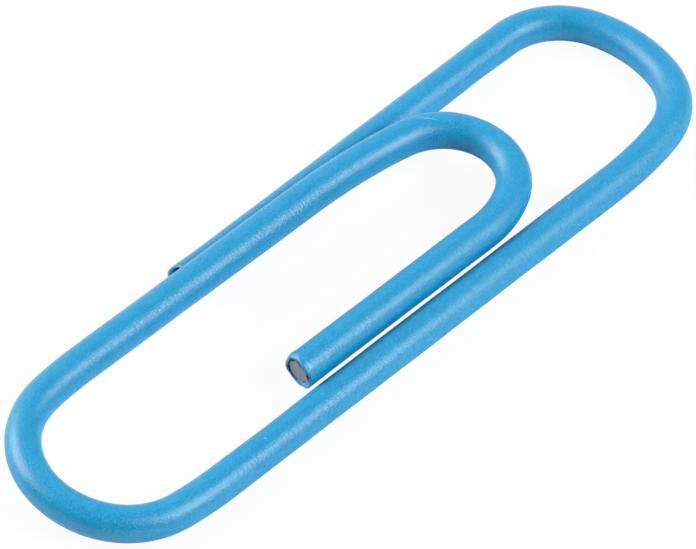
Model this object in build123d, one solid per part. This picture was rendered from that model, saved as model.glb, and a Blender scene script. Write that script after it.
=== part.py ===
from build123d import *
from math import atan2, cos, degrees, hypot, radians, sin, sqrt
import os

# A wire paper clip of the double-loop pattern, in millimetres. A spring-steel wire with a bonded
# plastic coating is bent three times: a big bend between legs 1 and 2, an end bend between legs 2
# and 3, and an inner bend between legs 3 and 4. Legs 1 and 2 and the big bend are the outer loop,
# which lies flat. Legs 3 and 4 and the inner bend are the tongue, whose leg 3 rests on leg 1.
# Wire and coating are parted at the crown of the end bend, where the wire twists as the tongue opens.
# +X runs along the clip from the end bend to the big bend, +Y from leg 2 to leg 1, and +Z is up.
# The origin is the middle of the surface that the clip lies on.

# Wire
wire_diameter = 1.15            # over the coating
coating_wall = 0.125
lip_radius = 0.09               # coating rounded over where the shear cut it
lip_land = 0.02                 # least flat left on the end of the coating
leg_1_setback = 0.58            # steel face behind the end of the coating, which was pulled past it on leg 1
leg_4_setback = 0.03
core_chamfer = 0.04             # steel edge broken by the shear

# Outer loop
overall_length = 28.0
overall_width = 8.05
leg_1_reach = 18.2              # outside of the big bend to the cut end of leg 1
leg_1_toe_in = 0.85             # degrees by which leg 1 closes on leg 2 towards its cut end
big_shoulder_radius = 13.4      # easing from leg 2 into the big bend
big_shoulder_turn = 11.9
big_crown_radius = 4.9
big_crown_turn = 35.4
big_nose_radius = 2.4           # tight stretch beside leg 1
big_nose_turn = 75.3

# End bend and tongue
end_shoulder_radius = 12.7      # easing from legs 2 and 3 into the end bend
end_shoulder_turn = 7.4
eye_length = 5.9                # open space from the inner bend to the big bend
leg_4_reach = 11.8              # outside of the inner bend to the cut end of leg 4
inner_shoulder_radius = 24.0    # easing from leg 3 into the inner bend
inner_shoulder_turn = 9.9
inner_heel_radius = 3.9         # easing from the inner bend into leg 4
inner_heel_turn = 27.0
seat_angle = 47.0               # degrees above level, from leg 1 up to leg 3
seat_gap = 0.06                 # air between leg 3 and leg 1 at rest
side_gap = 0.1                  # air between leg 4 and leg 2
tongue_lean = 4.0               # degrees by which the tongue rises across the clip, from leg 4 to leg 3

left, right = 1, -1


def after_arcs(arcs):
    """Steps ahead and aside from a bend's start to the end of its (radius, turn) arcs."""
    ahead, aside, heading = 0.0, 0.0, 0.0
    for radius, turn in arcs:
        before, after = radians(heading), radians(heading + turn)
        ahead += radius * (sin(after) - sin(before))
        aside += radius * (cos(before) - cos(after))
        heading += turn
    return ahead, aside


def first_arcs(arcs, turn_wanted):
    """The arcs of a bend from its start to where it has turned by the angle wanted."""
    kept = []
    for radius, turn in arcs:
        kept.append((radius, min(turn, turn_wanted)))
        turn_wanted -= turn
        if turn_wanted <= 0:
            break
    return kept


def closed_bend(spacing, total_turn, entry, leaving):
    """Arcs of a whole bend: those given at its two ends, and one between them that makes up the
    turn and brings the second leg to the spacing asked for."""
    rest = total_turn - sum(turn for _, turn in entry + leaving)

    def aside(radius):
        return after_arcs(entry + [(radius, rest)] + leaving)[1]

    radius = (spacing - aside(0.0)) / (aside(1.0) - aside(0.0))
    return entry + [(radius, rest)] + leaving


def trace(start, ahead, side, steps):
    """Edges of a path of straight lengths and (radius, turn) arcs, each tangent to the last."""
    edges = []
    for step in steps:
        if isinstance(step, tuple):
            radius, turn = step
            edge = JernArc(start, ahead, radius, side * turn)
        else:
            edge = Line(start, Vector(*start) + Vector(*ahead) * step)
        edges.append(edge)
        start, ahead = edge @ 1, edge % 1
    return edges


# The outer loop, flat, followed from leg 2 round the big bend to leg 1
wire_radius = wire_diameter / 2
core_radius = wire_radius - coating_wall
outer_x = overall_length / 2 - wire_radius      # crowns: the big bend at plus this, the end bend at minus
loop_spacing = overall_width - wire_diameter
big_bend = closed_bend(
    loop_spacing,
    180.0 + leg_1_toe_in,
    [(big_shoulder_radius, big_shoulder_turn)],
    [(big_crown_radius, big_crown_turn), (big_nose_radius, big_nose_turn)],
)
big_start_x = outer_x - after_arcs(first_arcs(big_bend, 90.0))[0]
leg_1_start_x = big_start_x + after_arcs(big_bend)[0]
leg_1_end_x = overall_length / 2 - leg_1_reach
leg_1_length = (leg_1_start_x - leg_1_end_x) / cos(radians(leg_1_toe_in))
leg_1_end_y = loop_spacing - leg_1_length * sin(radians(leg_1_toe_in))

# Leg 3 seats on leg 1 at its cut end, so the end bend lies in a plane rolled about leg 2
seat_distance = wire_diameter + seat_gap
leg_3_y = leg_1_end_y - seat_distance * cos(radians(seat_angle))
leg_3_z = seat_distance * sin(radians(seat_angle))
end_spacing = hypot(leg_3_y, leg_3_z)
end_roll = degrees(atan2(leg_3_z, leg_3_y))

# The end bend, and its half from the crown to either leg
end_shoulder = [(end_shoulder_radius, end_shoulder_turn)]
end_bend = closed_bend(end_spacing, 180.0, end_shoulder, end_shoulder)
end_half = first_arcs(end_bend, 90.0)[::-1]
end_start_x = -outer_x + after_arcs(first_arcs(end_bend, 90.0))[0]
leg_2_length = big_start_x - end_start_x

# The tongue leans less than the end bend, by a twist along leg 3, and its leg 4 runs beside leg 2
lean = radians(tongue_lean)
leg_2_abreast = leg_3_y * cos(lean) + leg_3_z * sin(lean)
leg_2_below = leg_3_z * cos(lean) - leg_3_y * sin(lean)
inner_spacing = leg_2_abreast - sqrt((wire_diameter + side_gap) ** 2 - leg_2_below ** 2)
inner_bend = closed_bend(
    inner_spacing,
    180.0,
    [(inner_shoulder_radius, inner_shoulder_turn)],
    [(inner_heel_radius, inner_heel_turn)],
)
inner_x = outer_x - wire_diameter - eye_length  # crown of the inner bend
inner_start_x = inner_x - after_arcs(first_arcs(inner_bend, 90.0))[0]
leg_3_length = inner_start_x - end_start_x
leg_4_start_x = inner_start_x + after_arcs(inner_bend)[0]
leg_4_end_x = inner_x + wire_radius - leg_4_reach
leg_4_length = leg_4_start_x - leg_4_end_x

leg_2_place = Pos(0, -loop_spacing / 2, wire_radius)
end_place = leg_2_place * Rot(X=end_roll)
inner_place = leg_2_place * Pos(0, leg_3_y, leg_3_z) * Rot(X=tongue_lean)
end_crown = (-outer_x, end_spacing / 2)


def outer_path(trim):
    """From the crown of the end bend to leg 1's cut end, stopping short of it by trim."""
    half = trace(end_crown, (0, -1), left, end_half)
    loop = trace((end_start_x, 0), (1, 0), left, [leg_2_length] + big_bend + [leg_1_length - trim])
    return [end_place * edge for edge in half] + [leg_2_place * edge for edge in loop]


def tongue_path(trim):
    """From the crown of the end bend to leg 4's cut end, stopping short of it by trim."""
    half = trace(end_crown, (0, 1), right, end_half + [leg_3_length])
    inner = trace((inner_start_x, 0), (1, 0), right, inner_bend + [leg_4_length - trim])
    return [end_place * edge for edge in half] + [inner_place * edge for edge in inner]


def rod(path, radius):
    """Round bar along a path of edges."""
    wire = Wire(path)
    section = Plane(origin=wire @ 0, z_dir=wire % 0) * Circle(radius)
    return sweep(section, path=wire)


def cut_rim(bar, path):
    """The round edge at the cut end of a bar."""
    return bar.edges().filter_by(GeomType.CIRCLE).sort_by_distance(path[-1] @ 1)[0]


def core(path_to, setback):
    """Steel wire, with its sheared edge broken."""
    path = path_to(setback)
    bar = rod(path, core_radius)
    return chamfer(cut_rim(bar, path), core_chamfer)


def coating(path_to):
    """Plastic sleeve on the steel, with a rounded lip at the cut end."""
    path = path_to(0.0)
    bar = rod(path, wire_radius)
    lip = min(lip_radius, coating_wall - lip_land)
    return fillet(cut_rim(bar, path), lip) - rod(path, core_radius)


pieces = {
    "core_outer_loop": core(outer_path, leg_1_setback),
    "core_tongue": core(tongue_path, leg_4_setback),
    "coating_outer_loop": coating(outer_path),
    "coating_tongue": coating(tongue_path),
}

os.makedirs("parts", exist_ok=True)
for name, piece in pieces.items():
    export_step(piece, f"parts/{name}.step")

for name, path_to in (("outer loop", outer_path), ("tongue", tongue_path)):
    length = sum(edge.length for edge in path_to(0.0))
    print(f"{name}: wire length {length:.2f} mm")
hinge = (end_place * Vertex(*end_crown, 0)).center()
print(f"end bend rolled {end_roll:.4f} degrees, turning at ({hinge.X:.4f}, {hinge.Y:.4f}, {hinge.Z:.4f})")
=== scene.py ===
import bpy
import numpy as np
from mathutils import Matrix, Vector


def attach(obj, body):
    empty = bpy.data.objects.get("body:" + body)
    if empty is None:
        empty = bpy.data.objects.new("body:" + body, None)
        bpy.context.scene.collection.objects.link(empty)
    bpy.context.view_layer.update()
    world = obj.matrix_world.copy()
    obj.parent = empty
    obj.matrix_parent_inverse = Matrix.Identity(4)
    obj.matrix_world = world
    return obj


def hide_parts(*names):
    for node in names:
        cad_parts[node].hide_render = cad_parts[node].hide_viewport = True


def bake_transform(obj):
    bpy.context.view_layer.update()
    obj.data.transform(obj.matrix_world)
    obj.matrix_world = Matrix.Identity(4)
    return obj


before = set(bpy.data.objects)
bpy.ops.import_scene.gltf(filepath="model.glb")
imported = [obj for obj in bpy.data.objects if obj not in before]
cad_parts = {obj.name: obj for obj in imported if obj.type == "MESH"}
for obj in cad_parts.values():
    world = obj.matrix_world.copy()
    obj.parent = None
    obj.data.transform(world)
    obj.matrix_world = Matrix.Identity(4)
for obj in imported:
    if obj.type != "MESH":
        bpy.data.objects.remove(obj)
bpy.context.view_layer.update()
scene = bpy.context.scene
mm = 0.001
print("frame loaded:", sorted(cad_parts))

# The wire's centre line, in millimetres and degrees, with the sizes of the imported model.
# Bends are (radius, turn) arcs. The middle arc of each bend is worked out so that the legs close.
clipSizes = dict(
    wireDiameter=1.15, coatingWall=0.125,
    overallLength=28.0, overallWidth=8.05,
    leg1Reach=18.2, leg1ToeIn=0.85,
    bigShoulder=(13.4, 11.9), bigCrown=(4.9, 35.4), bigNose=(2.4, 75.3),
    endShoulder=(12.7, 7.4),
    eyeLength=5.9, leg4Reach=11.8,
    innerShoulder=(24.0, 9.9), innerHeel=(3.9, 27.0),
    seatAngle=47.0, seatGap=0.06, sideGap=0.1, tongueLean=4.0,
)


# how far a row of arcs goes ahead and aside: radius times the change of sine and of cosine of the heading
def bendSpan(arcs):
    radius, turn = np.array(arcs, float).T
    heads = np.radians(np.concatenate(([0.0], np.cumsum(turn))))
    return (radius * np.diff(np.sin(heads))).sum(), -(radius * np.diff(np.cos(heads))).sum()


# the step aside is linear in the middle arc's radius, so two tries give the radius that closes the bend
def closeBend(spacing, turn, entry, leaving):
    rest = turn - sum(arc[1] for arc in entry + leaving)
    none, one = [bendSpan(entry + [(r, rest)] + leaving)[1] for r in (0.0, 1.0)]
    return entry + [((spacing - none) / (one - none), rest)] + leaving


# each arc as its length and its curvature
def arcSteps(arcs):
    return [(radius * np.radians(turn), 1 / radius) for radius, turn in arcs]


# how far ahead the crown is, where the bend has turned by 90 degrees
def crownSpan(arcs):
    radius, turn = np.array(arcs, float).T
    kept = np.clip(90.0 - (np.cumsum(turn) - turn), 0.0, turn)
    return bendSpan(np.stack((radius, kept), 1))[0]


# steps of (length, curvature) from leg 1's cut end round the three bends to leg 4's cut end
def layWire(c):
    d = c["wireDiameter"]
    crownX = c["overallLength"] / 2 - d / 2
    spacing = c["overallWidth"] - d
    toe = np.radians(c["leg1ToeIn"])
    big = closeBend(spacing, 180 + c["leg1ToeIn"], [c["bigShoulder"]], [c["bigCrown"], c["bigNose"]])
    bigX = crownX - crownSpan(big)
    leg1EndX = c["overallLength"] / 2 - c["leg1Reach"]
    leg1 = (bigX + bendSpan(big)[0] - leg1EndX) / np.cos(toe)
    leg1EndY = spacing - leg1 * np.sin(toe)
    seat = np.radians(c["seatAngle"])
    leg3Y = leg1EndY - (d + c["seatGap"]) * np.cos(seat)
    leg3Z = (d + c["seatGap"]) * np.sin(seat)
    endSpacing = np.hypot(leg3Y, leg3Z)
    end = closeBend(endSpacing, 180.0, [c["endShoulder"]], [c["endShoulder"]])
    endX = -crownX + crownSpan(end)
    lean = np.radians(c["tongueLean"])
    abreast = leg3Y * np.cos(lean) + leg3Z * np.sin(lean)
    below = leg3Z * np.cos(lean) - leg3Y * np.sin(lean)
    innerSpacing = abreast - np.sqrt((d + c["sideGap"]) ** 2 - below ** 2)
    inner = closeBend(innerSpacing, 180.0, [c["innerShoulder"]], [c["innerHeel"]])
    innerCrownX = crownX - d - c["eyeLength"]
    innerX = innerCrownX - crownSpan(inner)
    leg4 = innerX + bendSpan(inner)[0] - (innerCrownX + d / 2 - c["leg4Reach"])
    steps = [(leg1, 0.0)] + arcSteps(big[::-1])
    steps += [(bigX - endX, 0.0)] + arcSteps(end)
    steps += [(innerX - endX, 0.0)] + arcSteps(inner)
    steps += [(leg4, 0.0)]
    begin = np.concatenate(([0.0], np.cumsum([length for length, bend in steps])))
    leg2At = 1 + len(big)
    leg3At = leg2At + 1 + len(end)
    return dict(
        steps=np.array(steps), begin=begin, total=begin[-1],
        start=np.array((leg1EndX, leg1EndY)), heading=toe, roll=np.arctan2(leg3Z, leg3Y), lean=lean,
        spacing=spacing, endSpacing=endSpacing, radius=d / 2, coreRadius=d / 2 - c["coatingWall"],
        leg2=(begin[leg2At], begin[leg2At + 1]), leg3=(begin[leg3At], begin[leg3At + 1]),
    )


# a step's chord is length times sinc of half its turn, at the heading half way along it
def stepChord(length, bend, heading):
    half = length * bend / 2
    reach = length * np.sinc(half / np.pi)
    return np.stack((reach * np.cos(heading - half), reach * np.sin(heading - half)), -1)


# from 0 at the first run to 1 at the second, in an S curve: 3 times the share squared less 2 times its cube
def easeAlong(run, first, second):
    share = np.clip((run - first) / (second - first), 0, 1)
    return share * share * (3 - 2 * share)


# place, across and up at any array of runs: flat steps added up, then rolled about leg 2 as far as leg 3,
# and about leg 3 from there on. Each roll eases in along its straight leg
def followWire(wire, run):
    length, bend = wire["steps"].T
    heads = wire["heading"] - np.concatenate(([0.0], np.cumsum(length * bend)))
    knots = np.cumsum(stepChord(length, bend, heads[:-1]), 0)
    knots = wire["start"] + np.concatenate((np.zeros((1, 2)), knots))
    at = np.clip(np.searchsorted(wire["begin"], run, side="right") - 1, 0, len(length) - 1)
    along = run - wire["begin"][at]
    flat = knots[at] + stepChord(along, bend[at], heads[at])
    head = heads[at] - along * bend[at]
    rolled = easeAlong(run, *wire["leg2"])
    twisted = easeAlong(run, *wire["leg3"])
    turn = wire["roll"] * rolled + (wire["lean"] - wire["roll"]) * twisted
    cosine, sine = np.cos(turn), np.sin(turn)
    pivot = np.where(run > wire["leg3"][0], wire["endSpacing"], 0.0)
    aside = flat[..., 1] - pivot
    placeY = pivot * np.cos(wire["roll"]) + aside * cosine - wire["spacing"] / 2
    placeZ = pivot * np.sin(wire["roll"]) + aside * sine + wire["radius"]
    place = np.stack((flat[..., 0], placeY, placeZ), -1)
    across = np.stack((-np.sin(head), np.cos(head) * cosine, np.cos(head) * sine), -1)
    up = np.stack((0 * sine, -sine, cosine), -1)
    return place, across, up


wire = layWire(clipSizes)
print(f"wire laid out: {wire['total']:.2f} mm, end bend rolled {np.degrees(wire['roll']):.2f} degrees")

# How the shear left each cut end, in millimetres and degrees. Angles go round the wire from its left side,
# looking along it from leg 1 to leg 4, by way of the top. The rim of the plastic is how far it stands out at
# some angles. Its lip is long and soft on the side the blade pressed and short on the side it broke away.
# Cover is how far the plastic laps over the steel, whose own face is tilted and set back. A pair of values is
# for the far side and the side named. Stains on the torn rim are the angle and how far in each reaches; on leg
# 1 they are painted shade inside the sleeve's mouth, on leg 4 real stains with painted shade of the gap.
cutEnds = dict(
    leg1=dict(
        rim=(
            (-5, -0.02), (10, 0.0), (35, -0.02), (55, -0.11),
            (70, -0.16), (125, -0.24), (210, -0.26), (300, -0.10),
        ),
        softSide=20.0, lipLong=(0.04, 0.07), lipDeep=(0.035, 0.045), cover=(0.0, -0.07), coverSide=62.0,
        faceTilt=8.0, faceSide=350.0, setBack=0.58,
        swell=0.03, swellLength=0.7, swellSide=90.0, rag=0.012, seed=2.1,
        # leg 1's stains are painted shade inside the sleeve's mouth
        stainsAndShade=((12, 0.20), (34, 0.20), (56, 0.20), (76, 0.16)),
    ),
    leg4=dict(
        rim=(
            (10, -0.01), (55, 0.075), (100, 0.0), (145, 0.0),
            (190, 0.005), (235, -0.07), (280, -0.05), (325, 0.03),
        ),
        softSide=170.0, lipLong=(0.05, 0.40), lipDeep=(0.05, 0.105), cover=(0.005, 0.10), coverSide=300.0,
        faceTilt=7.2, faceSide=55.0, setBack=0.03,
        swell=0.032, swellLength=0.38, swellSide=215.0, rag=0.018, seed=0.4,
        # leg 4's stains are real staining on the torn rim with painted shade of the gap between steel and
        # plastic
        stainsAndShade=((6, 0.17), (36, 0.15), (62, 0.18), (88, 0.17), (125, 0.20), (226, 0.12), (248, 0.14)),
    ),
)

# The grid of points on each tube, in millimetres along it. Pieces part a little beyond the end bend
tube = dict(
    around=72, outsideStep=0.11, boreStep=0.5, seamBeyond=1.1,
    lipRows=12, mouthRows=6, edgeRows=7, faceRows=12,
)
seamRuns = (wire["leg2"][1] - tube["seamBeyond"], wire["leg3"][0] + tube["seamBeyond"])

# Waves round a torn edge, with their heights and phases and the height that counts as one
tear = dict(
    waves=(3, 5, 8, 13, 21), heights=(0.9, 1.0, 0.8, 0.6, 0.35), phases=(1.0, 2.3, 3.1, 4.7, 5.9), whole=2.2,
)


# an uneven closed ring: sines of whole numbers of waves round the wire, with fixed phases
def tornRing(phi, seed):
    angles = np.array(tear["waves"]) * phi[..., None] + seed * np.array(tear["phases"])
    return (np.array(tear["heights"]) * np.sin(angles)).sum(-1) / tear["whole"]


# 1 on the side named and 0 opposite: half of one plus the cosine to that side, to a power
def facing(phi, side, power):
    return (0.5 + 0.5 * np.cos(phi - np.radians(side))) ** power


# a value that goes from the first of a pair to the second
def between(pair, share):
    return pair[0] + (pair[1] - pair[0]) * share


# The coating's outside. A waver of the extrusion is a height, radians a millimetre, waves round the wire
# and a phase. A bend mark's bell narrows round the wire with its focus. A swelling has a steady share and a
# one-sided one
coat = dict(wavers=((0.0025, 0.9, 0, 0.4), (0.0018, 2.3, 1, 1.0)), markFocus=2.5, swellShares=(0.45, 0.55))

# Where the bending pressed the coating thinner or bunched it up, in millimetres and degrees
bendMarks = (
    dict(run=50.0, angle=330, reach=1.6, height=-0.052),
    dict(run=49.6, angle=148, reach=1.1, height=0.030),
    dict(run=53.0, angle=175, reach=1.1, height=-0.038),
    dict(run=42.4, angle=146, reach=1.5, height=-0.027),
    dict(run=13.3, angle=213, reach=1.4, height=-0.026),
    dict(run=70.9, angle=213, reach=1.0, height=0.036),
)


# the wire radius, less slow wavers of the extrusion, with a bell along and round the wire for each bend mark,
# and swollen to one side towards each cut end
def coatRadius(run, phi):
    radius = wire["radius"]
    for height, rate, waves, phase in coat["wavers"]:
        radius = radius + height * (np.sin(rate * run + waves * phi + phase) - 1)
    for mark in bendMarks:
        around = np.exp(coat["markFocus"] * (np.cos(phi - np.radians(mark["angle"])) - 1))
        radius = radius + mark["height"] * around * np.exp(-((run - mark["run"]) / mark["reach"]) ** 2)
    for cut, back in ((cutEnds["leg1"], run), (cutEnds["leg4"], wire["total"] - run)):
        side = coat["swellShares"][0] + coat["swellShares"][1] * np.cos(phi - np.radians(cut["swellSide"]))
        radius = radius + cut["swell"] * side * np.exp(-(back / cut["swellLength"]) ** 2)
    return radius


# The plastic's rim and mouth: how closely the rim keeps to its points, how torn it is, the powers of the
# lip's and the cover's sides, how far the mouth sinks, the least land beside it, and where the bore begins
mouthShape = dict(
    rimFocus=14, rimTear=0.35, mouthSeed=1.7, softPower=1.5, coverPower=3, sunk=0.02, leastLand=0.006,
    boreShare=0.9, boreBehind=0.12,
)


# how far the plastic stands out by angle: the mean of the rim's points, each with a weight that falls off
# with its angle as the exponent of a cosine, and a torn ring
def plasticFace(cut, phi):
    angle, height = np.array(cut["rim"]).T
    weight = np.exp(mouthShape["rimFocus"] * (np.cos(phi[..., None] - np.radians(angle)) - 1))
    torn = mouthShape["rimTear"] * cut["rag"] * tornRing(phi, cut["seed"])
    return (weight * height).sum(-1) / weight.sum(-1) + torn


# rows from the outside over the lip and into the bore, as depth from the cut and radius: a quarter of an
# ellipse for the lip, then a mouth that narrows to the steel and the bore behind it
def lipRows(cut, run, phi):
    soft = facing(phi, cut["softSide"], mouthShape["softPower"])
    back = between(cut["lipLong"], soft)
    deep = between(cut["lipDeep"], soft)
    outside = coatRadius(run, phi)
    bore = wire["coreRadius"]
    quarter = np.linspace(0, np.pi / 2, tube["lipRows"])[:, None]
    depth = [back * (1 - np.sin(quarter))]
    radius = [outside - deep * (1 - np.cos(quarter))]
    cover = between(cut["cover"], facing(phi, cut["coverSide"], mouthShape["coverPower"]))
    mouth = bore - cover + cut["rag"] * tornRing(phi, cut["seed"] + mouthShape["mouthSeed"])
    mouth = np.minimum(mouth, outside - deep - mouthShape["leastLand"])
    into = np.linspace(0, 1, tube["mouthRows"])[1:, None]
    sunk = mouthShape["sunk"]
    boreFrom = mouthShape["boreShare"] * cut["setBack"] + mouthShape["boreBehind"]
    depth += [sunk * into ** 2 + 0 * phi]
    radius += [between((outside - deep, mouth), np.sin(into * np.pi / 2))]
    depth += [between((sunk, boreFrom), into) + 0 * phi]
    radius += [between((mouth, bore), into)]
    return np.concatenate(depth), np.concatenate(radius)


# even shares from 0 to 1 between two runs, about a step apart, one to a row
def rowShares(runA, runB, step):
    return np.linspace(0, 1, int((runB - runA) / step) + 2)[:, None]


# closed sleeve between two runs: rows along the outside, over the far end, back down the bore, over the
# near end. A seam is a flat ring, and a cut end has its lip and mouth
def sleeveRows(runA, runB, cutA, cutB):
    phi = np.linspace(0, 2 * np.pi, tube["around"], endpoint=False)
    lastA, lastB = runA + 0 * phi, runB + 0 * phi
    boreA, boreB = lastA, lastB
    lips = {}
    for end, cut, at, sign in (("A", cutA, runA, 1), ("B", cutB, runB, -1)):
        if cut:
            depth, radius = lipRows(cut, at, phi)
            lips[end] = (at - sign * plasticFace(cut, phi) + sign * depth, radius)
    if cutA:
        lastA, boreA = lips["A"][0][0], lips["A"][0][-1]
    if cutB:
        lastB, boreB = lips["B"][0][0], lips["B"][0][-1]
    outRun = between((lastA, lastB), rowShares(runA, runB, tube["outsideStep"]))
    backRun = between((boreB, boreA), rowShares(runA, runB, tube["boreStep"]))
    runs, radii = [outRun], [coatRadius(outRun, phi)]
    if cutB:
        runs.append(lips["B"][0][1:-1])
        radii.append(lips["B"][1][1:-1])
    runs.append(backRun)
    radii.append(0 * backRun + wire["coreRadius"])
    if cutA:
        runs.append(lips["A"][0][-2:0:-1])
        radii.append(lips["A"][1][-2:0:-1])
    return np.concatenate(runs), np.concatenate(radii), phi


# The steel: how far it clears the bore, its broken edge on the hard and the soft side, how torn and how long
# that is, and the shear marks as a height, waves across and up, and the share of the end's own seed
steelShape = dict(
    clear=0.003, innerRow=0.02, broken=(0.03, 0.08), brokenTear=0.014, brokenSeed=0.6, brokenLong=1.3,
    shearMarks=((0.006, 23, 9, 1), (0.005, -14, 31, 0)), markFade=4,
)


# steel rod between two runs: rows along it and, on a cut end, over a broken edge and in to the middle
def rodRows(runA, runB, cutA, cutB):
    phi = np.linspace(0, 2 * np.pi, tube["around"], endpoint=False)
    core = wire["coreRadius"] - steelShape["clear"]
    endRuns, endRadii, stops = {}, {}, {}
    for end, cut, at, sign in (("A", cutA, runA, 1), ("B", cutB, runB, -1)):
        stops[end] = at + 0 * phi
        inward = np.linspace(1, steelShape["innerRow"], tube["faceRows"])[:, None]
        radius = core * inward + 0 * phi
        depth = 0 * radius
        if cut:
            broken = between(steelShape["broken"], facing(phi, cut["softSide"], mouthShape["softPower"]))
            broken = broken + steelShape["brokenTear"] * tornRing(phi, cut["seed"] + steelShape["brokenSeed"])
            quarter = np.linspace(0, np.pi / 2, tube["edgeRows"])[:, None]
            edge = core - broken * (1 - np.cos(quarter))
            edgeDepth = steelShape["brokenLong"] * broken * (1 - np.sin(quarter))
            radius = np.concatenate((edge, edge[-1] * inward[1:]))
            depth = np.concatenate((edgeDepth, 0 * inward[1:] * phi))
            slope = np.tan(np.radians(cut["faceTilt"]))
            depth = depth + cut["setBack"] - slope * radius * np.cos(phi - np.radians(cut["faceSide"]))
            fade = 1 - (radius / core) ** steelShape["markFade"]
            x, y = radius * np.cos(phi), radius * np.sin(phi)
            for height, wavesX, wavesY, seedShare in steelShape["shearMarks"]:
                depth = depth + fade * height * np.sin(wavesX * x + wavesY * y + seedShare * cut["seed"])
            stops[end] = at + sign * depth[0]
        endRuns[end] = at + sign * depth
        endRadii[end] = radius
    along = between((stops["A"], stops["B"]), rowShares(runA, runB, tube["boreStep"]))
    runs = np.concatenate((endRuns["A"][:0:-1], along, endRuns["B"][1:]))
    radii = np.concatenate((endRadii["A"][:0:-1], 0 * along + core, endRadii["B"][1:]))
    return runs, radii, phi


# a grid of rows and columns becomes a mesh: each point is the centre line at its run plus its radius times
# the turned across and up. Columns join round the wire. Rows join too on a sleeve, or close on two poles.
# straightWire keeps where the point would be on the straight wire, for patterns that follow it
def wireMesh(name, runs, radii, phi, loops):
    rows, cols = runs.shape
    place, across, up = followWire(wire, runs.ravel())
    turn = np.broadcast_to(phi, runs.shape).ravel()[:, None]
    reach = radii.ravel()[:, None]
    points = place + reach * (np.cos(turn) * across + np.sin(turn) * up)
    straight = np.concatenate((runs.ravel()[:, None], reach * np.cos(turn), reach * np.sin(turn)), 1)
    index = np.arange(rows * cols).reshape(rows, cols)
    beside = np.roll(index, -1, 1)
    if loops:
        quads = np.stack((index, beside, np.roll(beside, -1, 0), np.roll(index, -1, 0)), -1)
        corners = quads.reshape(-1, 4).ravel()
        sizes = np.full(rows * cols, 4)
    else:
        poles = np.stack((points[index[0]].mean(0), points[index[-1]].mean(0)))
        points = np.concatenate((points, poles))
        middles = np.array(((runs[0].mean(), 0, 0), (runs[-1].mean(), 0, 0)))
        straight = np.concatenate((straight, middles))
        quads = np.stack((index[:-1], beside[:-1], beside[1:], index[1:]), -1).reshape(-1, 4)
        first = np.stack((0 * index[0] + rows * cols, beside[0], index[0]), -1)
        last = np.stack((0 * index[0] + rows * cols + 1, index[-1], beside[-1]), -1)
        corners = np.concatenate((quads.ravel(), first.ravel(), last.ravel()))
        sizes = np.concatenate((np.full(len(quads), 4), np.full(2 * cols, 3)))
    mesh = bpy.data.meshes.new(name)
    mesh.vertices.add(len(points))
    mesh.vertices.foreach_set("co", (points * mm).astype(np.float32).ravel())
    mesh.loops.add(len(corners))
    mesh.loops.foreach_set("vertex_index", corners.astype(np.int32))
    mesh.polygons.add(len(sizes))
    mesh.polygons.foreach_set("loop_start", (np.cumsum(sizes) - sizes).astype(np.int32))
    mesh.polygons.foreach_set("use_smooth", np.ones(len(sizes), bool))
    mesh.update(calc_edges=True)
    mesh.attributes.new("straightWire", "FLOAT_VECTOR", "POINT")
    mesh.attributes["straightWire"].data.foreach_set("vector", straight.astype(np.float32).ravel())
    return mesh


# edges whose two ends lie in one of these rings are kept sharp, so a seam's flat ring bends no highlight
def sharpenRings(mesh, ringRows, cols):
    pairs = np.zeros(2 * len(mesh.edges), np.int32)
    mesh.edges.foreach_get("vertices", pairs)
    row = pairs.reshape(-1, 2) // cols
    sharp = (row[:, 0] == row[:, 1]) & np.isin(row[:, 0], ringRows)
    mesh.attributes.new("sharp_edge", "BOOLEAN", "EDGE")
    mesh.attributes["sharp_edge"].data.foreach_set("value", sharp)


# Shader maths. A Tone is a socket that takes part in sums; each sum adds a Math node
class Tone:
    def __init__(self, finish, socket):
        self.finish = finish
        self.socket = socket

    def maths(self, operation, *values):
        return self.finish.node("Math", dict(operation=operation), dict(enumerate(values)))

    def __add__(self, other):
        return self.maths("ADD", self, other)

    def __radd__(self, other):
        return self.maths("ADD", other, self)

    def __sub__(self, other):
        return self.maths("SUBTRACT", self, other)

    def __rsub__(self, other):
        return self.maths("SUBTRACT", other, self)

    def __mul__(self, other):
        return self.maths("MULTIPLY", self, other)

    def __rmul__(self, other):
        return self.maths("MULTIPLY", other, self)

    def __truediv__(self, other):
        return self.maths("DIVIDE", self, other)

    def __pow__(self, other):
        return self.maths("POWER", self, other)

    def atLeast(self, other):
        return self.maths("MAXIMUM", self, other)

    # 0 below low, 1 above high and an S curve between
    def rise(self, low, high):
        sockets = {"Value": self, "From Min": low, "From Max": high}
        return self.finish.node("MapRange", dict(interpolation_type="SMOOTHSTEP"), sockets)


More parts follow.
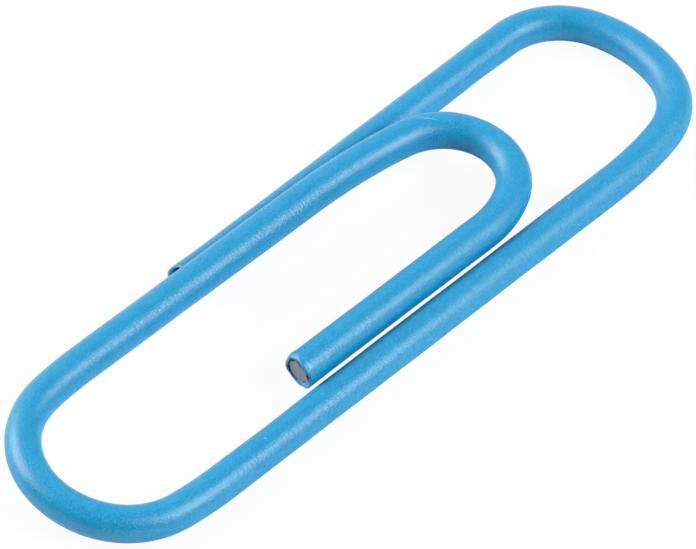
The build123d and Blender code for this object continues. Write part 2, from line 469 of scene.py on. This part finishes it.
# A Finish is one material or world. node() takes a type, its settings, its sockets and the output wanted
class Finish:
    def __init__(self, name, kind="materials"):
        self.owner = getattr(bpy.data, kind).new(name)
        self.owner.use_nodes = True
        self.tree = self.owner.node_tree
        self.tree.nodes.clear()

    def node(self, kind, settings, sockets, out=0):
        made = self.tree.nodes.new("ShaderNode" + kind)
        for key, value in settings.items():
            setattr(made, key, value)
        for key, value in sockets.items():
            if isinstance(value, Tone):
                self.tree.links.new(value.socket, made.inputs[key])
            else:
                made.inputs[key].default_value = value
        return Tone(self, made.outputs[out]) if made.outputs else made

    def blend(self, share, first, second):
        return self.node("Mix", dict(data_type="RGBA"), {0: share, 6: first, 7: second}, 2)

    def scaled(self, vector, factors):
        return self.node("VectorMath", dict(operation="MULTIPLY"), {0: vector, 1: factors})

    def dot(self, vector, axis):
        return self.node("VectorMath", dict(operation="DOT_PRODUCT"), {0: vector, 1: axis}, 1)

    # noise whose lumps have the size given, one for all three ways or one for each
    def noise(self, vector, size, detail=2.0):
        finer = self.scaled(vector, tuple(1 / np.broadcast_to(size, 3)))
        return self.node("TexNoise", {}, {"Vector": finer, "Scale": 1.0, "Detail": detail})

    def straightWire(self):
        return self.node("Attribute", dict(attribute_name="straightWire"), {}, "Vector")

    def bump(self, height):
        return self.node("Bump", {}, {"Strength": 1.0, "Distance": mm, "Height": height})

    def wear(self, surface, output="OutputMaterial"):
        self.node(output, {}, {"Surface": surface})
        return self.owner


# Coating: satin azure plastic. Sizes in millimetres on the straight wire: fine grain, ripple across the wire,
# mottle and slow drift. Their mix runs from deep to azure and on to pale. Rubbed stretches are duller: the
# run of the middle, the half length and the roughness added. Stretches drawn smooth by a bend have less ripple
coatLook = dict(
    azure=(0.004, 0.300, 0.575, 1), deep=(0.002, 0.252, 0.525, 1), pale=(0.030, 0.375, 0.635, 1),
    # the dark grime colour serves real specks and smudges and also painted shade; the whitened colour serves
    # real scratches and stress whitening and also painted highlights and painted light
    whitenedAndLit=(0.36, 0.60, 0.76, 1), grimeAndShade=(0.010, 0.030, 0.055, 1),
    grain=0.05, ripple=(0.062, 0.28, 0.28), rippleDetail=1.0, mottle=0.38, drift=4.0,
    grainShare=0.75, mottleShare=0.15, driftShare=0.10,
    azureFrom=(0.36, 0.50), paleFrom=(0.50, 0.64), paleShare=0.8,
    ior=1.60, roughness=0.365, grainRough=0.25, mottleRough=0.06,
    grainHeight=0.0125, rippleHeight=0.015, mottleHeight=0.006,
    rubbed=((28.5, 9.5, 0.10), (77.5, 3.0, 0.07)),
    drawn=((20.0, 6.5), (50.0, 6.0), (72.5, 5.5)), drawnShare=0.65, drawnEdge=(0, 0.6),
)

# Marks on the coating: run along the wire, angle round it, half lengths along and across, the slant of the
# long way round from the wire, the colour and how strong it is. Some are real specks, scratches and whitening,
# some are painted light or painted shade on the cut ends' lips
wireEnd = wire["total"]
leg2Start, leg2End = wire["leg2"]
leg3Start = wire["leg3"][0]
wireMarks = dict(
    speck=dict(run=wireEnd - 0.51, angle=113, size=(0.035, 0.035), slant=0, colour="grimeAndShade", strength=0.75),
    scratch=dict(
        run=wireEnd - 14.66, angle=87.5, size=(0.43, 0.025), slant=23, colour="whitenedAndLit", strength=0.5,
    ),
    eyeDent=dict(
        run=leg2Start + 1.83, angle=111, size=(0.06, 0.03), slant=20, colour="whitenedAndLit", strength=0.8,
    ),
    endDent=dict(run=leg2End - 1.81, angle=93, size=(0.05, 0.03), slant=70, colour="whitenedAndLit", strength=0.6),
    smudge=dict(run=leg3Start - 5.52, angle=42, size=(0.10, 0.07), slant=30, colour="grimeAndShade", strength=0.30),
    lipTop=dict(run=wireEnd - 0.10, angle=117, size=(0.09, 0.24), slant=0, colour="whitenedAndLit", strength=0.26),
    # painted highlight along the rounded edge of leg 4's lip, just behind the rim
    lipEdgeHighlight=dict(run=wireEnd - 0.14, angle=58, size=(0.05, 0.16), slant=0, colour="whitenedAndLit", strength=0.35),
    # painted light: the shaded inner wall of leg 4's mouth on the far side is lightened
    farLipLight=dict(run=wireEnd - 0.04, angle=172, size=(0.13, 0.30), slant=0, colour="whitenedAndLit", strength=0.6),
    # painted light: the shaded near side of leg 4's lip is lightened
    nearLipLight=dict(run=wireEnd - 0.04, angle=318, size=(0.20, 0.36), slant=0, colour="whitenedAndLit", strength=0.38),
    # painted light: the far inner wall of leg 1's sleeve mouth is lightened as if lit
    innerLipLight=dict(run=0.04, angle=-4, size=(0.12, 0.18), slant=0, colour="whitenedAndLit", strength=0.45),
    # painted shade: a dark spot for the shadow inside a small nick in leg 4's lower rim
    nickShade=dict(run=wireEnd - 0.10, angle=345, size=(0.06, 0.05), slant=0, colour="grimeAndShade", strength=0.95),
)

# How deep a mark goes, over what distances its edge fades, and how far the grain roughens it
markShape = dict(depth=0.3, edge=(0.55, 1.05), rag=0.9)


# distance on the straight wire from a mark's middle, which is 1 at its edge: the gap to the middle is taken
# along the mark, across it and in depth, each over its half length
def markAt(finish, straight, mark):
    turn, slant = np.radians((mark["angle"], mark["slant"]))
    ahead = np.array((1.0, 0.0, 0.0))
    outward = np.array((0.0, np.cos(turn), np.sin(turn)))
    aside = np.array((0.0, -np.sin(turn), np.cos(turn)))
    along = (np.cos(slant) * ahead + np.sin(slant) * aside) / mark["size"][0]
    across = (np.cos(slant) * aside - np.sin(slant) * ahead) / mark["size"][1]
    middle = mark["run"] * ahead + wire["radius"] * outward
    gap = finish.node("VectorMath", dict(operation="SUBTRACT"), {0: straight, 1: middle})
    parts = [finish.dot(gap, axis) for axis in (along, across, outward / markShape["depth"])]
    return (parts[0] * parts[0] + parts[1] * parts[1] + parts[2] * parts[2]) ** 0.5


# Stains and painted shade at the cut ends: the runs over which leg 1's cut end gives way to leg 4's, the runs
# behind leg 1's lip where they begin, and the cosines between which each fades. On leg 1 they are painted
# shade inside the sleeve, on leg 4 real stains with painted shade of the gap between steel and plastic. On the
# plastic: how far they spread out, how ragged they are, their edge about the bore, and how thick they are
stainAndShadeShape = dict(
    pastLeg1=(1.5, 2.5), behindLip=(0.12, 0.30), fade=(0.92, 0.995),
    spread=0.20, rag=0.06, edge=(-0.005, 0.03), thick=(0.04, 0.14), share=0.85,
)


# how far the stains and painted shade of the nearer cut end reach in, by angle: the cosine to each through an
# S curve. On leg 1 they are painted shade inside the sleeve, behind its lip
def rimStainAndShade(finish, straight, run):
    onLeg4 = run.rise(*stainAndShadeShape["pastLeg1"])
    shadeInLeg1 = run.rise(*stainAndShadeShape["behindLip"]) * (1 - onLeg4)
    flat = finish.scaled(straight, (0, 1, 1))
    radius = finish.node("VectorMath", dict(operation="LENGTH"), {0: flat}, 1)
    reach = 0.0
    for cut, near in ((cutEnds["leg1"], shadeInLeg1), (cutEnds["leg4"], onLeg4)):
        for angle, inward in cut["stainsAndShade"]:
            turn = np.radians(angle)
            cosine = finish.dot(flat, (0, np.cos(turn), np.sin(turn))) / radius
            reach = inward * near * cosine.rise(*stainAndShadeShape["fade"]) + reach
    return reach, radius


# 1 in the middle of a stretch of the wire, falling with the square of the distance to 0 at its ends
def within(run, middle, half):
    away = (run - middle) / half
    return 1 - away * away


def azureCoating(look):
    f = Finish("azure satin coating")
    straight = f.straightWire()
    run = f.dot(straight, (1, 0, 0))
    grain = f.noise(straight, look["grain"])
    ripple = f.noise(straight, look["ripple"], look["rippleDetail"])
    mottle = f.noise(straight, look["mottle"])
    drift = f.noise(straight, look["drift"])
    tone = look["grainShare"] * grain + look["mottleShare"] * mottle + look["driftShare"] * drift
    colour = f.blend(tone.rise(*look["azureFrom"]), look["deep"], look["azure"])
    colour = f.blend(look["paleShare"] * tone.rise(*look["paleFrom"]), colour, look["pale"])
    for mark in wireMarks.values():
        away = markAt(f, straight, mark) + markShape["rag"] * (grain - 0.5)
        inside = 1 - away.rise(*markShape["edge"])
        colour = f.blend(mark["strength"] * inside, colour, look[mark["colour"]])
    # the mouths of the cut ends are darkened towards the bore: painted shade, with real stains on leg 4's torn
    # rim
    inward, radius = rimStainAndShade(f, straight, run)
    torn = radius - stainAndShadeShape["spread"] * inward + stainAndShadeShape["rag"] * (grain - 0.5)
    stainedAndShaded = 1 - torn.rise(*[wire["coreRadius"] + edge for edge in stainAndShadeShape["edge"]])
    colour = f.blend(stainAndShadeShape["share"] * stainedAndShaded * inward.rise(*stainAndShadeShape["thick"]), colour, look["grimeAndShade"])
    rough = look["roughness"] + look["grainRough"] * (grain - 0.5) + look["mottleRough"] * (mottle - 0.5)
    for middle, half, added in look["rubbed"]:
        rough = rough + added * within(run, middle, half).rise(0, 1)
    flecked = 1.0
    for middle, half in look["drawn"]:
        flecked = flecked - look["drawnShare"] * within(run, middle, half).rise(*look["drawnEdge"])
    height = look["grainHeight"] * grain + look["mottleHeight"] * mottle
    height = height + look["rippleHeight"] * flecked * ripple
    sockets = {"Base Color": colour, "Roughness": rough, "Normal": f.bump(height), "IOR": look["ior"]}
    return f.wear(f.node("BsdfPrincipled", {}, sockets))


# Steel: drawn and zinc-grey, seen only on the cut faces, with a dark rim against the plastic that is partly a
# real stain and partly painted shade of the gap. Leg 1's face, deep in its sleeve, is painted dark all over as
# shade. Sizes in millimetres on the straight wire
steelLook = dict(
    bright=(0.36, 0.38, 0.43, 1), dull=(0.22, 0.23, 0.27, 1), stainAndShade=(0.035, 0.022, 0.018, 1),
    marks=(0.2, 0.05, 0.35), pits=0.035, pitsDetail=3.0, broad=0.16, leg1Shade=1.1,
    pitsShare=0.6, marksShare=0.4, brightFrom=(0.38, 0.60),
    broadRag=0.35, pitsRag=0.25, stainShadeEdge=(1.01, 1.09),
    roughness=0.42, stainShadeRough=0.25, pitsRough=0.2, metallic=0.85, stainShadeMetallic=0.75,
    marksHeight=0.004, pitsHeight=0.003,
)


def shearedSteel(look):
    f = Finish("sheared steel")
    straight = f.straightWire()
    run = f.dot(straight, (1, 0, 0))
    inward, radius = rimStainAndShade(f, straight, run)
    # leg 1's whole face is pushed past the stain edge: painted shade in its deep sleeve
    reach = radius / wire["coreRadius"] + inward + look["leg1Shade"] * (1 - run.rise(*stainAndShadeShape["pastLeg1"]))
    pits = f.noise(straight, look["pits"], look["pitsDetail"])
    broad = f.noise(straight, look["broad"])
    marks = f.noise(straight, look["marks"])
    worn = look["pitsShare"] * pits + look["marksShare"] * marks
    colour = f.blend(worn.rise(*look["brightFrom"]), look["dull"], look["bright"])
    ragged = reach + look["broadRag"] * (broad - 0.5) + look["pitsRag"] * (pits - 0.5)
    stainAndShade = ragged.rise(*look["stainShadeEdge"])
    colour = f.blend(stainAndShade, colour, look["stainAndShade"])
    rough = look["roughness"] + look["stainShadeRough"] * stainAndShade + look["pitsRough"] * (pits - 0.5)
    metal = look["metallic"] - look["stainShadeMetallic"] * stainAndShade
    bump = f.bump(look["marksHeight"] * marks + look["pitsHeight"] * pits)
    sockets = {"Base Color": colour, "Roughness": rough, "Metallic": metal, "Normal": bump}
    return f.wear(f.node("BsdfPrincipled", {}, sockets))


coating = azureCoating(coatLook)
steel = shearedSteel(steelLook)
print("finishes made")


# one piece of the wire on its body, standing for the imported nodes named
def addPiece(name, mesh, finish, nodes):
    piece = bpy.data.objects.new(name, mesh)
    scene.collection.objects.link(piece)
    mesh.materials.append(finish)
    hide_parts(*nodes)
    return piece


# The wire is three pieces a layer: outer loop, end bend and tongue. The end bend stands for the nodes of both
# bodies and is attached to neither
stretches = dict(
    outer=dict(runs=(0.0, seamRuns[0]), cuts=(cutEnds["leg1"], None), bodies=("outer_loop",)),
    endBend=dict(runs=seamRuns, cuts=(None, None), bodies=("outer_loop", "tongue")),
    tongue=dict(runs=(seamRuns[1], wire["total"]), cuts=(None, cutEnds["leg4"]), bodies=("tongue",)),
)
layers = dict(
    sleeve=dict(rows=sleeveRows, finish=coating, slot="coating", node="coating_"),
    wire=dict(rows=rodRows, finish=steel, slot="steel", node="core_"),
)
leg2Axis = np.array((0.0, -wire["spacing"] / 2, wire["radius"]))
rolledAside = np.array((0.0, np.cos(wire["roll"]), np.sin(wire["roll"])))
twistInset = wire["radius"] + 0.05  # the legs themselves stay untwisted
twistFrom = (leg2Axis + rolledAside * twistInset) * mm
twistTo = (leg2Axis + rolledAside * (wire["endSpacing"] - twistInset)) * mm
for layerName, layer in layers.items():
    for part, stretch in stretches.items():
        runs, radii, phi = layer["rows"](*stretch["runs"], *stretch["cuts"])
        closed = layerName == "sleeve"
        mesh = wireMesh(f"{layerName}_{part}", runs, radii, phi, closed)
        if closed:
            outRows = len(rowShares(*stretch["runs"], tube["outsideStep"]))
            ringRows = [] if stretch["cuts"][0] else [0, len(runs) - 1]
            ringRows += [] if stretch["cuts"][1] else [outRows - 1, outRows]
            sharpenRings(mesh, ringRows, len(phi))
        nodes = [layer["node"] + body for body in stretch["bodies"]]
        piece = addPiece(f"{layerName}_{part}", mesh, layer["finish"], nodes)
        if len(stretch["bodies"]) == 2:
            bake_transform(piece)
        else:
            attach(piece, stretch["bodies"][0])
        print(f"{piece.name}: {len(mesh.vertices)} points, {len(mesh.polygons)} faces")

# White table: rays from the camera see plain white with a small share of the true shading, for the shadow,
# and rays mirrored in the clip see mostly the true shading
table = dict(half=1.5, paint=(0.88, 0.88, 0.88, 1), shadowShare=0.07, mirrorShadowShare=0.85)


def whiteTable(look):
    f = Finish("white table")
    straight, mirrored, through = [
        f.node("LightPath", {}, {}, ray) for ray in ("Is Camera Ray", "Is Glossy Ray", "Is Transmission Ray")
    ]
    paint = f.node("BsdfDiffuse", {}, {"Color": look["paint"]})
    glow = f.node("Emission", {}, {"Color": (1, 1, 1, 1), "Strength": 1.0})
    share = straight.atLeast(through) * (1 - look["shadowShare"])
    share = share.atLeast(mirrored * (1 - look["mirrorShadowShare"]))
    return f.wear(f.node("MixShader", {}, {0: share, 1: paint, 2: glow}))


floorMesh = bpy.data.meshes.new("floor")
spread = table["half"]
corners = [(-spread, -spread, 0), (spread, -spread, 0), (spread, spread, 0), (-spread, spread, 0)]
floorMesh.from_pydata(corners, [], [(0, 1, 2, 3)])
floorMesh.materials.append(whiteTable(table))
floor = bpy.data.objects.new("floor", floorMesh)
scene.collection.objects.link(floor)

# Two soft boxes either side of the camera and a pale backdrop behind the clip, with directions as seen
# from the clip, in metres and watts
lamps = dict(
    leftBox=dict(towards=(-0.37, 0.77, 0.52), distance=0.36, size=(0.22, 0.27), watts=1.35),
    rightBox=dict(towards=(0.31, -0.71, 0.625), distance=0.36, size=(0.19, 0.20), watts=1.25),
)
room = dict(
    backdrop=(0.60, 0.60, 0.60, 1), around=(0.09, 0.09, 0.09, 1), towards=(0.50, 0.80, 0.35), edge=(0.3, 0.9),
)
for name, lamp in lamps.items():
    light = bpy.data.lights.new(name, "AREA")
    light.shape = "RECTANGLE"
    light.size, light.size_y = lamp["size"]
    light.energy = lamp["watts"]
    holder = bpy.data.objects.new(name, light)
    scene.collection.objects.link(holder)
    aim = Vector(lamp["towards"]).normalized()
    holder.location = aim * lamp["distance"]
    holder.rotation_mode = "QUATERNION"
    holder.rotation_quaternion = aim.to_track_quat("Z", "Y")


# grey room, paler towards the backdrop: the cosine to the backdrop's middle goes through an S curve
def greyRoom(look):
    f = Finish("grey room", "worlds")
    direction = f.node("TexCoord", {}, {}, "Generated")
    cosine = f.dot(direction, Vector(look["towards"]).normalized())
    grey = f.blend(cosine.rise(*look["edge"]), look["around"], look["backdrop"])
    return f.wear(f.node("Background", {}, {"Color": grey, "Strength": 1.0}), "OutputWorld")


scene.world = greyRoom(room)
print("table and lamps placed")

# Camera: degrees and millimetres; the focal length is in pixels of a 696 wide picture
shot = dict(
    aim=(-0.3641, -0.2009, 0.575), azimuth=-47.0852, elevation=44.7873, roll=0.2529,
    distance=164.4, focalPixels=5365.573, pictureWidth=696, sensorWidth=36.0, clip=(0.005, 10.0),
)
azimuth, elevation, roll = np.radians((shot["azimuth"], shot["elevation"], shot["roll"]))
back = Vector((np.sin(azimuth) * np.cos(elevation), -np.cos(azimuth) * np.cos(elevation), np.sin(elevation)))
level = Vector((np.cos(azimuth), np.sin(azimuth), 0))
upright = back.cross(level)
side = level * np.cos(roll) + upright * np.sin(roll)
top = back.cross(side)
lens = bpy.data.cameras.new("camera")
lens.sensor_width = shot["sensorWidth"]
lens.lens = shot["focalPixels"] * lens.sensor_width / shot["pictureWidth"]
lens.clip_start, lens.clip_end = shot["clip"]
camera = bpy.data.objects.new("camera", lens)
scene.collection.objects.link(camera)
spot = (Vector(shot["aim"]) + back * shot["distance"]) * mm
camera.matrix_world = Matrix.Translation(spot) @ Matrix((side, top, back)).transposed().to_4x4()
scene.camera = camera
scene.view_settings.view_transform = "Standard"
